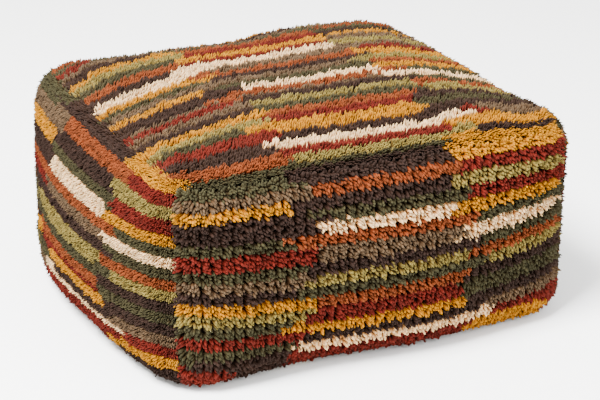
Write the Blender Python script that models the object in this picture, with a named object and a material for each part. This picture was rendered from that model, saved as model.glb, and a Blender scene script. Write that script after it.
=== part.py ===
"""A low floor pouf with a cover of cut wool pile.

Five pile panels on a woven ground cloth (a top and four sides) are sewn into a cover,
which a canvas base with a zip closes underneath. Inside it a cotton liner holds two
foam slabs wrapped in wadding. Metres, +Z up, the front faces -Y, and the origin is on
the floor under the middle of the base.
"""
import math

import bmesh
import bpy
import numpy as np

# Outer form, measured over the tips of the pile
POUF_WIDTH = 0.571
POUF_DEPTH = 0.536
EDGE_HEIGHT = 0.272
CROWN_RISE = 0.014
FRONT_BULGE = 0.021
FRONT_SPREAD = 0.0105
END_BULGE = 0.015
END_SPREAD = 0.031
DENT_DEPTH = 0.018
DENT_PLACE = -0.110
DENT_WIDTH = 0.115
CORNER_RADIUS = 0.069
TOP_EDGE_RADIUS = 0.053
BASE_EDGE_RADIUS = 0.038
BASE_SEAM_ANGLE = math.radians(70)
TOP_SEAM_ANGLE = math.radians(45)

# Layers, from the outside in
PILE_LENGTH = 0.016
GROUND_CLOTH = 0.0018
SEAM_TAPE = 0.0010
LINER_CLOTH = 0.0009
WADDING = 0.022
FOAM_TOP_HEIGHT = 0.080
FOAM_EDGE_RADIUS = 0.018
BASE_CANVAS = 0.0012
BASE_TAPE_LAP = 0.010
FIT = 0.0003
SEAM_GAP = 0.0006
LEAST_RADIUS = 0.001

# Zip in the base, which stops short of the sides by its margin
ZIP_MARGIN = 0.1055
TOOTH_PITCH = 0.005
TOOTH_THICKNESS = 0.0032
TOOTH_REACH = 0.0010
TOOTH_PLAY = 0.0003
SPINE_WIDTH = 0.0018
ZIP_TAPE_WIDTH = 0.0145
ZIP_TAPE_THICKNESS = 0.0008
ZIP_TAPE_END = 0.022
TOP_STOP_LENGTH = 0.003
TOP_STOP_THICKNESS = 0.0042
BOTTOM_STOP_LENGTH = 0.004
BOTTOM_STOP_THICKNESS = 0.0048

# Slider and pull
SLIDER_LENGTH = 0.016
SLIDER_WIDTH = 0.012
SLIDER_NOSE = 0.005
SLIDER_CORNER = 0.0025
SLIDER_PLAY = 0.0004
WING_THICKNESS = 0.0012
POST_LENGTH = 0.003
POST_WIDTH = 0.0028
BAIL_LENGTH = 0.0064
BAIL_WIDTH = 0.0022
BAIL_HEIGHT = 0.0030
BAIL_BAR = 0.0009
BAIL_LEG = 0.0019
BAIL_BITE = 0.0003
BAIL_FLOOR_GAP = 0.0028
PULL_LENGTH = 0.024
PULL_WIDTH = 0.009
PULL_THICKNESS = 0.0012
PULL_BAR = 0.0012
PULL_EYE_LENGTH = 0.0042
PULL_EYE_WIDTH = 0.0032
PULL_CORNER = 0.0014

# Slot that the zip lies in, pressed up into the base
SLOT_WIDTH = 0.015
SLOT_END = 0.018
SLOT_CLOSE = 0.004
RECESS_WIDTH = 0.040
RECESS_SLOPE = 0.024
RECESS_END = 0.026
RECESS_FADE = 0.020

# Faces along a quarter-round's half, a side's straight run and a wall
ARC_STEPS = 2
STRAIGHT_STEPS = 6
WALL_STEPS = 3
STRAIGHT_SHARE = 0.7

SIDES = ("front", "right", "back", "left")

for stale in list(bpy.data.objects):
    bpy.data.objects.remove(stale, do_unlink=True)
pouf = bpy.data.collections.new("pouf")
cutters = bpy.data.collections.new("cutters")
bpy.context.scene.collection.children.link(pouf)
bpy.context.scene.collection.children.link(cutters)


def finish(name, colour, roughness, metallic=0.0):
    """A plain finish in one sRGB colour."""
    material = bpy.data.materials.new(name)
    material.use_nodes = True
    shader = material.node_tree.nodes["Principled BSDF"]
    srgb = [int(colour[i:i + 2], 16) / 255 for i in (1, 3, 5)]
    linear = [c / 12.92 if c <= 0.04045 else ((c + 0.055) / 1.055) ** 2.4 for c in srgb]
    shader.inputs["Base Color"].default_value = (*linear, 1.0)
    shader.inputs["Roughness"].default_value = roughness
    shader.inputs["Metallic"].default_value = metallic
    return material


def add_part(name, data, colour, roughness, metallic=0.0):
    part = bpy.data.objects.new(name, data)
    data.materials.append(finish(name, colour, roughness, metallic))
    pouf.objects.link(part)
    return part


def sheet_between(name, outer, inner, closed=False, cornered=False):
    """A closed layer between two grids of points with the same rows and columns.

    A closed layer's last column is its first. A cornered one has its quads split from
    its corners inwards, in each quarter the other way.
    """
    rows, columns = outer.shape[:2]
    bm = bmesh.new()
    bmesh.ops.create_grid(bm, x_segments=columns - 1, y_segments=rows - 1, size=1.0)
    middles = [(face, face.calc_center_median()) for face in bm.faces]
    other_way = [face for face, middle in middles if cornered and middle.x * middle.y < 0]
    bmesh.ops.triangulate(bm, faces=other_way, quad_method="ALTERNATE")
    bmesh.ops.triangulate(bm, faces=bm.faces[:], quad_method="FIXED")
    place = bm.verts.layers.int.new("place")
    bm.verts.ensure_lookup_table()
    for index, vert in enumerate(bm.verts):
        vert[place] = index
        vert.co = outer[index // columns][index % columns]
    if closed:
        bmesh.ops.remove_doubles(bm, verts=bm.verts[:], dist=1e-6)
    made = bmesh.ops.extrude_face_region(bm, geom=bm.faces[:])
    for vert in made["geom"]:
        if isinstance(vert, bmesh.types.BMVert):
            index = vert[place]
            vert.co = inner[index // columns][index % columns]
    bmesh.ops.recalc_face_normals(bm, faces=bm.faces[:])
    mesh = bpy.data.meshes.new(name)
    bm.to_mesh(mesh)
    bm.free()
    mesh.shade_smooth()
    mesh.set_sharp_from_angle(angle=math.radians(40))
    return mesh


# Places along a side, from one corner seam (-1) to the next (1)
run = np.linspace(-STRAIGHT_SHARE, STRAIGHT_SHARE, STRAIGHT_STEPS + 1)
turn = np.linspace(STRAIGHT_SHARE, 1.0, ARC_STEPS + 1)[1:]
STATIONS = np.concatenate([-turn[::-1], run, turn])
LAST = len(STATIONS) - 1


def swell(side, station, along, share):
    """How far the filling pushes a side out at a share of its height: the front is dented."""
    across = side % 2 == 0
    bulge = FRONT_BULGE if across else END_BULGE
    spread = FRONT_SPREAD if across else END_SPREAD
    out = bulge * math.sin(math.pi * share) + spread * (1 - share)
    if SIDES[side] == "front":
        out -= DENT_DEPTH * (1 - share) * math.exp(-((along - DENT_PLACE) / DENT_WIDTH) ** 2)
    return out * math.cos(math.pi / 2 * station) ** 2


def plan_point(side, station, inset, share=None, trim=0.0):
    """A point on the rounded outline, drawn in by inset and swollen unless it has no share."""
    across = side % 2 == 0
    half_along = (POUF_WIDTH if across else POUF_DEPTH) / 2
    half_out = (POUF_DEPTH if across else POUF_WIDTH) / 2
    radius = max(CORNER_RADIUS - inset, LEAST_RADIUS)
    straight = half_along - inset - radius
    way = math.copysign(1.0, station)
    if abs(station) <= STRAIGHT_SHARE + 1e-9:
        along = straight * station / STRAIGHT_SHARE
        out = half_out - inset
    else:
        angle = math.pi / 4 * (abs(station) - STRAIGHT_SHARE) / (1 - STRAIGHT_SHARE)
        along = way * (straight + radius * math.sin(angle))
        out = half_out - inset - radius * (1 - math.cos(angle))
    if share is not None:
        out += swell(side, station, along, share)
    if abs(station) == 1.0:
        along -= way * trim * math.sqrt(0.5)
        out += trim * math.sqrt(0.5)
    return ((along, -out), (out, along), (-along, out), (-out, -along))[side]


def profile(zone, value, inset, floor, top_edge=TOP_EDGE_RADIUS):
    """How far in from the outline, and how high, a row of a layer lies."""
    base_radius = max(BASE_EDGE_RADIUS - inset, LEAST_RADIUS)
    top_radius = max(top_edge - inset, LEAST_RADIUS)
    if zone == "base":
        rise = floor + base_radius * (1 - math.sin(value))
        return inset + base_radius * (1 - math.cos(value)), rise
    if zone == "top":
        rise = EDGE_HEIGHT - inset - top_radius * (1 - math.sin(value))
        return inset + top_radius * (1 - math.cos(value)), rise
    if zone == "flat":
        return value, floor
    low = floor + base_radius
    high = EDGE_HEIGHT - inset - top_radius
    return inset, low + (high - low) * value


def row_share(zone, value):
    """Share of the height at which a row swells, the same in every layer."""
    return min(profile(zone, value, 0.0, 0.0)[1] / EDGE_HEIGHT, 1.0)


SIDE_ROWS = [("base", BASE_SEAM_ANGLE * (1 - k / ARC_STEPS)) for k in range(ARC_STEPS + 1)]
SIDE_ROWS += [("wall", k / WALL_STEPS) for k in range(1, WALL_STEPS)]
SIDE_ROWS += [("top", TOP_SEAM_ANGLE * k / ARC_STEPS) for k in range(ARC_STEPS + 1)]
BAND_ROWS = [("base", math.pi / 2)] + SIDE_ROWS
TOP_SEAM_ROW = ("top", TOP_SEAM_ANGLE)


def side_grid(side, rows, stations, inset, floor, trim=SEAM_GAP / 2):
    """Points of one layer on one side, from the floor up, trimmed at its upright seams."""
    grid = []
    for zone, value in rows:
        drawn_in, height = profile(zone, value, inset, floor)
        if (zone, value) == TOP_SEAM_ROW and rows[-1] == TOP_SEAM_ROW:
            drawn_in -= SEAM_GAP / 2 * math.sin(value)
            height -= SEAM_GAP / 2 * math.cos(value)
        share = row_share(zone, value)
        grid.append([(*plan_point(side, s, drawn_in, share, trim), height) for s in stations])
    return np.array(grid)


def band_grid(rows, inset, floor):
    """Points of one layer all the way round, its last column on its first."""
    sides = range(len(SIDES))
    loop = [side_grid(side, rows, STATIONS[:-1], inset, floor, trim=0.0) for side in sides]
    loop.append(loop[0][:, :1])
    return np.concatenate(loop, axis=1)


def crown(x, y):
    """Height that the filling adds to the top, falling to nothing at its round edge."""
    across = x / (POUF_WIDTH / 2 - TOP_EDGE_RADIUS)
    deep = y / (POUF_DEPTH / 2 - TOP_EDGE_RADIUS)
    return CROWN_RISE * max(1 - across ** 2, 0.0) * max(1 - deep ** 2, 0.0)


def top_point(i, j, inset, swollen, top_edge):
    """A point of the top: rings down the round edge outside, a crowned lattice inside."""
    ring = min(i, j, LAST - i, LAST - j)
    if ring > ARC_STEPS:
        x = (POUF_WIDTH / 2 - TOP_EDGE_RADIUS) * STATIONS[j] / STRAIGHT_SHARE
        y = (POUF_DEPTH / 2 - TOP_EDGE_RADIUS) * STATIONS[i] / STRAIGHT_SHARE
        return x, y, EDGE_HEIGHT - inset + crown(x, y)
    angle = TOP_SEAM_ANGLE + (math.pi / 2 - TOP_SEAM_ANGLE) * ring / ARC_STEPS
    drawn_in, height = profile("top", angle, inset, 0.0, top_edge)
    if ring == 0:
        drawn_in += SEAM_GAP / 2 * math.sin(angle)
        height += SEAM_GAP / 2 * math.cos(angle)
    if i == ring:
        side, place, way = 0, j, 1
    elif j == LAST - ring:
        side, place, way = 1, i, 1
    elif i == LAST - ring:
        side, place, way = 2, j, -1
    else:
        side, place, way = 3, i, -1
    station = way * STATIONS[place]
    if place in (ring, LAST - ring):
        station = math.copysign(1.0, station)
    share = row_share("top", angle) if swollen else None
    return (*plan_point(side, station, drawn_in, share), height)


def top_grid(inset, swollen=True, top_edge=TOP_EDGE_RADIUS):
    """Points of one layer of the top."""
    size = range(LAST + 1)
    return np.array([[top_point(i, j, inset, swollen, top_edge) for j in size] for i in size])


# Depth of each layer's outer face below the pile tips, and its height over the floor
cloth_in = PILE_LENGTH + FIT
tape_in = cloth_in + GROUND_CLOTH + FIT
liner_in = tape_in + SEAM_TAPE + FIT
wadding_in = liner_in + LINER_CLOTH + FIT
tape_floor = BASE_CANVAS + FIT
liner_floor = tape_floor + SEAM_TAPE + FIT
filling_floor = liner_floor + LINER_CLOTH + FIT

# Pile and its ground cloth: four sides and the top
PILE_COLOURS = {"front": "#7a5a35", "right": "#80603a", "back": "#74583a", "left": "#73492c"}
for side, name in enumerate(SIDES):
    tips = side_grid(side, SIDE_ROWS, STATIONS, 0.0, 0.0)
    roots = side_grid(side, SIDE_ROWS, STATIONS, PILE_LENGTH, 0.0)
    mesh = sheet_between(name + "_pile", tips, roots)
    add_part(name + "_pile", mesh, PILE_COLOURS[name], 0.95)
    face = side_grid(side, SIDE_ROWS, STATIONS, cloth_in, FIT)
    back = side_grid(side, SIDE_ROWS, STATIONS, cloth_in + GROUND_CLOTH, BASE_CANVAS)
    mesh = sheet_between(name + "_ground_cloth", face, back)
    add_part(name + "_ground_cloth", mesh, "#b9a888", 0.9)
mesh = sheet_between("top_pile", top_grid(0.0), top_grid(PILE_LENGTH), cornered=True)
add_part("top_pile", mesh, "#8a6f45", 0.95)
face = top_grid(cloth_in)
back = top_grid(cloth_in + GROUND_CLOTH)
mesh = sheet_between("top_ground_cloth", face, back, cornered=True)
add_part("top_ground_cloth", mesh, "#b9a888", 0.9)

# Twill tapes sewn over the inside of every seam, stopping short of where seams meet
STRAIGHT_STATIONS = STATIONS[ARC_STEPS:LAST + 1 - ARC_STEPS]
past_seam = TOP_SEAM_ANGLE + (math.pi / 2 - TOP_SEAM_ANGLE) / ARC_STEPS
before_seam = TOP_SEAM_ANGLE * (1 - 1 / ARC_STEPS)
TOP_TAPE_ROWS = [("top", before_seam), TOP_SEAM_ROW, ("top", past_seam)]
BASE_TAPE_ROWS = [
    ("flat", BASE_EDGE_RADIUS + BASE_TAPE_LAP),
    ("base", math.pi / 2),
    ("base", BASE_SEAM_ANGLE),
    ("base", BASE_SEAM_ANGLE * (1 - 1 / ARC_STEPS)),
]
CORNER_TAPE_ROWS = SIDE_ROWS[ARC_STEPS:-ARC_STEPS]


def add_tape(name, face, back):
    add_part(name, sheet_between(name, face, back), "#d8cdb4", 0.9)


for side, name in enumerate(SIDES):
    for seam, rows in (("top", TOP_TAPE_ROWS), ("base", BASE_TAPE_ROWS)):
        face = side_grid(side, rows, STRAIGHT_STATIONS, tape_in, tape_floor)
        back = side_grid(side, rows, STRAIGHT_STATIONS, tape_in + SEAM_TAPE, tape_floor + SEAM_TAPE)
        add_tape(f"{name}_{seam}_seam_tape", face, back)
    after = (side + 1) % len(SIDES)
    strips = []
    for inset in (tape_in, tape_in + SEAM_TAPE):
        near = side_grid(side, CORNER_TAPE_ROWS, STATIONS[-2:], inset, tape_floor)
        far = side_grid(after, CORNER_TAPE_ROWS, STATIONS[:2], inset, tape_floor)
        fold = (near[:, -1:] + far[:, :1]) / 2
        strips.append(np.concatenate([near[:, :1], fold, far[:, 1:]], axis=1))
    add_tape(f"{name}_{SIDES[after]}_seam_tape", *strips)

# Cotton liner: a top, a band round the sides, and later its base
liner_back = liner_in + LINER_CLOTH
mesh = sheet_between("liner_top", top_grid(liner_in), top_grid(liner_back), cornered=True)
add_part("liner_top", mesh, "#e6dcc6", 0.9)
face = band_grid(BAND_ROWS, liner_in, liner_floor)
back = band_grid(BAND_ROWS, liner_back, liner_floor + LINER_CLOTH)
add_part("liner_band", sheet_between("liner_band", face, back, closed=True), "#e6dcc6", 0.9)

# Wadding over the top and round the sides of the foam
wadding_back = wadding_in + WADDING
block_edge = wadding_back + FOAM_EDGE_RADIUS
block_top = top_grid(wadding_back, False, block_edge)
mesh = sheet_between("wadding_top", top_grid(wadding_in), block_top, cornered=True)
add_part("wadding_top", mesh, "#f2f0ea", 1.0)
face = band_grid(BAND_ROWS, wadding_in, filling_floor)
wall_in, wall_top = profile(*TOP_SEAM_ROW, wadding_back, 0.0, block_edge)
wall = [plan_point(side, s, wall_in) for side in range(len(SIDES)) for s in STATIONS[:-1]]
levels = np.linspace(filling_floor, wall_top - SEAM_GAP / 2, len(BAND_ROWS))
back = np.array([[(x, y, level) for x, y in wall + wall[:1]] for level in levels])
add_part("wadding_wrap", sheet_between("wadding_wrap", face, back, closed=True), "#f2f0ea", 1.0)

# Softer foam slab on top, crowned, and the firm slab under it
foam_split = EDGE_HEIGHT - wadding_back - FIT - FOAM_TOP_HEIGHT
crowned = block_top.copy()
crowned[:, :, 2] -= FIT
flat = crowned.copy()
flat[:, :, 2] = foam_split
mesh = sheet_between("foam_top", crowned, flat, cornered=True)
add_part("foam_top", mesh, "#e9d9a0", 0.95)

# Heights of the zip: the bail of its slider clears the floor
slider_half = TOOTH_THICKNESS / 2 + SLIDER_PLAY + WING_THICKNESS
zip_plane = BAIL_FLOOR_GAP + BAIL_HEIGHT + slider_half
canvas_lift = zip_plane - ZIP_TAPE_THICKNESS / 2 - FIT - BASE_CANVAS
liner_lift = zip_plane + slider_half + FIT - liner_floor
half_teeth = POUF_WIDTH / 2 - ZIP_MARGIN
slot_end = half_teeth + SLOT_END
recess_end = half_teeth + RECESS_END
recess_half = RECESS_WIDTH / 2


def recess(x, y):
    """Share of its full lift that the base has at a point: 1 along the zip, 0 away from it."""
    beside = (abs(y) - recess_half) / RECESS_SLOPE
    beyond = (abs(x) - recess_end) / RECESS_FADE
    return (1 - min(max(beside, 0.0), 1.0)) * (1 - min(max(beyond, 0.0), 1.0))


def outline_line(side, inset, share):
    """A side of a base plate's outline, corner seam to corner seam, as two lists."""
    return np.array([plan_point(side, s, inset, share) for s in STATIONS]).T


def half_rows(side, inset, share):
    """Plan of a base plate's half in rows, from its outer edge to beside the zip.

    The side is the front (0) or the back (2), which is turned to lie in front.
    """
    way = 1 - side
    edge_x, edge_y = way * outline_line(side, inset, share)
    right_x, right_y = way * outline_line(side + 1, inset, share)
    width = right_x[ARC_STEPS]
    ends = [slot_end, slot_end + SLOT_CLOSE, recess_end, recess_end + RECESS_FADE]
    runs = [width * k / STRAIGHT_STEPS for k in range(0, STRAIGHT_STEPS, 2)]
    right_columns = sorted(ends + runs) + [width]
    columns = np.array([-x for x in reversed(right_columns[1:])] + right_columns)
    edge = np.interp(columns / width * edge_x[-1 - ARC_STEPS], edge_x, edge_y)
    edge_rise = edge - edge[-1]
    corner = [(edge_x[k], edge_y[k]) for k in range(-1 - ARC_STEPS, 0)]
    corner += [(right_x[k], right_y[k]) for k in range(1, ARC_STEPS + 1)]
    rows = []
    for k, (reach, depth) in enumerate(corner):
        fade = 1 - k / (len(corner) - 1)
        rows.append([(x / width * reach, depth + fade * y) for x, y in zip(columns, edge_rise)])
    depths = [y for y in right_y[ARC_STEPS + 1:] if y < -recess_half - RECESS_SLOPE]
    for depth in depths + [-recess_half - RECESS_SLOPE, -recess_half]:
        reach = np.interp(depth, right_y, right_x)
        rows.append([(-reach, depth)] + [(x, depth) for x in columns[1:-1]] + [(reach, depth)])
    return rows


def turned(rows):
    """Rows of a plan turned half round."""
    return [[(-x, -y) for x, y in row] for row in rows]


def canvas_half(side, inset, share):
    """Plan of a canvas half, from its outer edge to the edge along the zip slot."""
    rows = half_rows(side, inset, share)
    right_x, right_y = outline_line(1, inset, share)
    reach = np.interp(0.0, right_y, right_x)
    columns = [-reach] + [x for x, _ in rows[-1][1:-1]] + [reach]
    edge = [SLOT_WIDTH / 2 if abs(x) <= slot_end else FIT / 2 for x in columns]
    rows.append([(x, -y) for x, y in zip(columns, edge)])
    return rows if side == 0 else turned(rows)


def base_plate(inset, share):
    """Plan of a whole base plate."""
    back = turned(half_rows(2, inset, share))
    return half_rows(0, inset, share) + [row[::-1] for row in reversed(back)]


def raised(plan, floor, lift):
    """A plan's points at a height over the floor, lifted along the zip."""
    return np.array([[(x, y, floor + lift * recess(x, y)) for x, y in row] for row in plan])


# Canvas base in two halves, which the zip joins
canvas_in = profile("base", BASE_SEAM_ANGLE, cloth_in, FIT)[0] + FIT
canvas_share = row_share("base", BASE_SEAM_ANGLE)
for side, name in ((0, "base_canvas_front"), (2, "base_canvas_back")):
    plan = canvas_half(side, canvas_in, canvas_share)
    top_face = raised(plan, BASE_CANVAS, canvas_lift)
    mesh = sheet_between(name, top_face, raised(plan, 0.0, canvas_lift))
    add_part(name, mesh, "#4a4038", 0.9)

# Base of the liner, and the firm foam slab that stands on it
plan = base_plate(BASE_EDGE_RADIUS + FIT, row_share("base", math.pi / 2))
top_face = raised(plan, liner_floor + LINER_CLOTH, liner_lift)
mesh = sheet_between("liner_base", top_face, raised(plan, liner_floor, liner_lift))
add_part("liner_base", mesh, "#e6dcc6", 0.9)
plan = base_plate(wall_in + FIT, None)
top_face = raised(plan, foam_split - FIT, 0.0)
mesh = sheet_between("foam_base", top_face, raised(plan, filling_floor, liner_lift))
add_part("foam_base", mesh, "#d8d6cf", 0.95)


def outline(name, loops, thickness):
    """A flat outline, its first loop the edge and any others holes, as thick as given."""
    curve = bpy.data.curves.new(name, "CURVE")
    curve.dimensions = "2D"
    curve.fill_mode = "BOTH"
    curve.extrude = thickness / 2
    for loop in loops:
        spline = curve.splines.new("POLY")
        spline.points.add(len(loop) - 1)
        for point, (x, y) in zip(spline.points, loop):
            point.co = (x, y, 0.0, 1.0)
        spline.use_cyclic_u = True
    return curve


def rectangle(x0, x1, y0, y1):
    return [(x0, y0), (x1, y0), (x1, y1), (x0, y1)]


def teeth_outline(first):
    """A row of teeth on its spine, reaching past the centre line, for the front half."""
    spine_near = TOOTH_REACH + SLIDER_PLAY
    spine_far = spine_near + SPINE_WIDTH
    tooth = TOOTH_PITCH / 2 - 2 * TOOTH_PLAY
    points = [(half_teeth, -spine_far), (half_teeth, -spine_near)]
    count = int((2 * half_teeth - first) / TOOTH_PITCH)
    for k in reversed(range(count)):
        middle = first + k * TOOTH_PITCH - half_teeth
        points += [(middle + tooth / 2, -spine_near), (middle + tooth / 2, TOOTH_REACH)]
        points += [(middle - tooth / 2, TOOTH_REACH), (middle - tooth / 2, -spine_near)]
    return points + [(-half_teeth, -spine_near), (-half_teeth, -spine_far)]


def add_zip_piece(name, loops, thickness, colour, roughness, metallic=0.0):
    part = add_part(name, outline(name, loops, thickness), colour, roughness, metallic)
    part.location.z = zip_plane
    return part


def mirrored(loop):
    return [(x, -y) for x, y in loop]


# Zip tapes, teeth and stops, each for the front half and the back half
spine_edge = TOOTH_REACH + SLIDER_PLAY + SPINE_WIDTH
tape_edge = spine_edge + FIT
tape_end = half_teeth + ZIP_TAPE_END
tape = rectangle(-tape_end, tape_end, -tape_edge - ZIP_TAPE_WIDTH, -tape_edge)
stop_start = half_teeth + FIT
stop = rectangle(stop_start, stop_start + TOP_STOP_LENGTH, -spine_edge, -spine_edge + SPINE_WIDTH)
front_teeth = teeth_outline(TOOTH_PITCH / 2)
back_teeth = mirrored(teeth_outline(TOOTH_PITCH))
for half, flip in (("front", list), ("back", mirrored)):
    add_zip_piece(f"zip_tape_{half}", [flip(tape)], ZIP_TAPE_THICKNESS, "#3a332d", 0.85)
    add_zip_piece(f"zip_top_stop_{half}", [flip(stop)], TOP_STOP_THICKNESS, "#8a7350", 0.35, 1.0)
add_zip_piece("zip_teeth_front", [front_teeth], TOOTH_THICKNESS, "#2f2a26", 0.4)
add_zip_piece("zip_teeth_back", [back_teeth], TOOTH_THICKNESS, "#2f2a26", 0.4)
stop_face = -half_teeth - FIT
stop = rectangle(stop_face - BOTTOM_STOP_LENGTH, stop_face, -spine_edge, spine_edge)
add_zip_piece("zip_bottom_stop", [stop], BOTTOM_STOP_THICKNESS, "#8a7350", 0.35, 1.0)


def block(name, low, high, corner=0.0):
    """A box between two corners, its upright edges rounded, as a mesh."""
    bm = bmesh.new()
    bmesh.ops.create_cube(bm, size=1.0)
    for vert in bm.verts:
        vert.co = [lo + (hi - lo) * (c + 0.5) for c, lo, hi in zip(vert.co, low, high)]
    upright = [e for e in bm.edges if abs(e.verts[0].co.z - e.verts[1].co.z) > 1e-6]
    if corner:
        bmesh.ops.bevel(bm, geom=upright, offset=corner, segments=3, profile=0.5, affect="EDGES")
    mesh = bpy.data.meshes.new(name)
    bm.to_mesh(mesh)
    bm.free()
    return mesh


def shape_with(target, name, low, high, operation):
    """Cut a box out of the target, or join one to it. The box moves with the target."""
    tool = bpy.data.objects.new(name, block(name, low, high))
    tool.hide_render = True
    tool.display_type = "WIRE"
    tool.parent = target
    cutters.objects.link(tool)
    change = target.modifiers.new(name, "BOOLEAN")
    change.operation = operation
    change.object = tool


# Slider, closed against the top stops: two wings joined by a post at the nose
nose = SLIDER_NOSE
rear = nose - SLIDER_LENGTH
half_slider = SLIDER_WIDTH / 2
channel = spine_edge + SLIDER_PLAY
gape = TOOTH_THICKNESS / 2 + SLIDER_PLAY
pocket = TOP_STOP_THICKNESS / 2 + FIT
tape_gap = ZIP_TAPE_THICKNESS / 2 + SLIDER_PLAY
low = (rear, -half_slider, -slider_half)
high = (nose, half_slider, slider_half)
slider_body = block("zip_slider", low, high, SLIDER_CORNER)
slider = add_part("zip_slider", slider_body, "#8a7350", 0.35, 1.0)
slider.location = (half_teeth, 0.0, zip_plane)
past = SLIDER_LENGTH
shape_with(slider, "teeth_channel", (rear - past, -channel, -gape), (nose + past, channel, gape),
           "DIFFERENCE")
shape_with(slider, "stop_pocket", (0.0, -channel, -pocket), (nose + past, channel, pocket),
           "DIFFERENCE")
shape_with(slider, "tape_slot", (rear - past, -past, -tape_gap), (nose + past, past, tape_gap),
           "DIFFERENCE")
post_start = TOOTH_PLAY + FIT
post_half = (pocket + slider_half) / 2
shape_with(slider, "post", (post_start, -POST_WIDTH / 2, -post_half),
           (post_start + POST_LENGTH, POST_WIDTH / 2, post_half), "UNION")
bail_middle = (nose + rear) / 2
bail_top = -slider_half + BAIL_BITE
bail_foot = -slider_half - BAIL_HEIGHT
shape_with(slider, "bail", (bail_middle - BAIL_LENGTH / 2, -BAIL_WIDTH / 2, bail_foot),
           (bail_middle + BAIL_LENGTH / 2, BAIL_WIDTH / 2, bail_top), "UNION")
eye_half = BAIL_LENGTH / 2 - BAIL_LEG
shape_with(slider, "bail_eye", (bail_middle - eye_half, -past, bail_foot + BAIL_BAR),
           (bail_middle + eye_half, past, -slider_half), "DIFFERENCE")

# Pull tab, which hangs in the bail and rests its tip on the floor
pivot_height = zip_plane - slider_half - (BAIL_HEIGHT - BAIL_BAR) / 2
droop = math.asin((pivot_height - PULL_THICKNESS / 2 - FIT) / PULL_LENGTH)


def rounded_rectangle(x0, x1, y0, y1, radius, steps=3):
    """A rectangle whose corners are arcs."""
    points = []
    middles = [(x1, y1, 0), (x0, y1, 1), (x0, y0, 2), (x1, y0, 3)]
    for x, y, quarter in middles:
        cx = x - math.copysign(radius, x - (x0 + x1) / 2)
        cy = y - math.copysign(radius, y - (y0 + y1) / 2)
        for k in range(steps + 1):
            angle = math.pi / 2 * (quarter + k / steps)
            points.append((cx + radius * math.cos(angle), cy + radius * math.sin(angle)))
    return points


bar_half = PULL_BAR / 2
half_pull = PULL_WIDTH / 2
tab = rounded_rectangle(-PULL_LENGTH, bar_half, -half_pull, half_pull, PULL_CORNER)
eye = rectangle(-bar_half - PULL_EYE_LENGTH, -bar_half, -PULL_EYE_WIDTH / 2, PULL_EYE_WIDTH / 2)
pull = add_part("zip_pull", outline("zip_pull", [tab, eye], PULL_THICKNESS), "#8a7350", 0.35, 1.0)
pull.parent = slider
pull.location = (bail_middle, 0.0, pivot_height - zip_plane)
pull.rotation_euler.y = -droop
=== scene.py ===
import math

import bpy
import numpy as np
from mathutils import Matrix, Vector


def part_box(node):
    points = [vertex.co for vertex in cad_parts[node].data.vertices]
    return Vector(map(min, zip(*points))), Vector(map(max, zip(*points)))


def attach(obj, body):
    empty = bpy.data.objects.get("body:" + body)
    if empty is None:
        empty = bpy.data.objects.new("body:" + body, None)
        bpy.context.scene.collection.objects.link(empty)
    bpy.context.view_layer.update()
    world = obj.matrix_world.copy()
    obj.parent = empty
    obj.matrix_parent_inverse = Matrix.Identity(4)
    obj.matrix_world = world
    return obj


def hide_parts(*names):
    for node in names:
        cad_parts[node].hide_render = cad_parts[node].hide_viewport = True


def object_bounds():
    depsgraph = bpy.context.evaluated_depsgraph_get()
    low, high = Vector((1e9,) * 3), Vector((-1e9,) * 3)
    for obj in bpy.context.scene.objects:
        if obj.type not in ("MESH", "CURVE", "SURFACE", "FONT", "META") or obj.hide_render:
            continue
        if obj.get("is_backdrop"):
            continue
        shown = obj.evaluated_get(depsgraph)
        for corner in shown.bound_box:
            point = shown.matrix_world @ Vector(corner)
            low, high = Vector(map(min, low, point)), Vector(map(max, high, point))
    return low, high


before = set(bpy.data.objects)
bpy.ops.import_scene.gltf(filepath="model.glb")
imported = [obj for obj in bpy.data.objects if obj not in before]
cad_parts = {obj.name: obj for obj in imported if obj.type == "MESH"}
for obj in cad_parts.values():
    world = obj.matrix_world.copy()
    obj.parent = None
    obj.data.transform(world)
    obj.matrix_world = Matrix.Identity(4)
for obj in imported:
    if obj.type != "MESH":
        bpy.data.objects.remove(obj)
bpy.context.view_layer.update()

# Foam slabs: a firm grey slab that carries the load and a softer cream one glued on top.
# They are cut from block foam with a hot wire, so their faces are plain and open-celled,
# and the edges of the top slab are rounded over by hand.
FOAM_VOXEL = 0.010
FOAM_CELL = 0.0012


def pick(piece):
    """Make a piece the only one selected."""
    bpy.ops.object.select_all(action="DESELECT")
    piece.select_set(True)
    bpy.context.view_layer.objects.active = piece


def modify(piece, kind, **settings):
    """Add a modifier and apply it."""
    pick(piece)
    bpy.ops.object.modifier_add(type=kind)
    change = piece.modifiers[-1]
    for key, value in settings.items():
        setattr(change, key, value)
    bpy.ops.object.modifier_apply(modifier=change.name)


def from_node(node, name):
    """A new piece that starts as a CAD node's shape, its loose triangles merged."""
    piece = bpy.data.objects.new(name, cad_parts[node].data.copy())
    piece.data.materials.clear()
    bpy.context.collection.objects.link(piece)
    pick(piece)
    bpy.ops.object.mode_set(mode="EDIT")
    bpy.ops.mesh.select_all(action="SELECT")
    bpy.ops.mesh.remove_doubles(threshold=0.00001)
    bpy.ops.object.mode_set(mode="OBJECT")
    return piece


def linear(code):
    """An sRGB hex colour as linear RGBA."""
    srgb = [int(code[k:k + 2], 16) / 255 for k in (1, 3, 5)]
    return [c / 12.92 if c <= 0.04045 else ((c + 0.055) / 1.055) ** 2.4 for c in srgb] + [1.0]


def blank(name):
    """A material with no nodes yet."""
    material = bpy.data.materials.new(name)
    material.use_nodes = True
    material.node_tree.nodes.clear()
    return material


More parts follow.
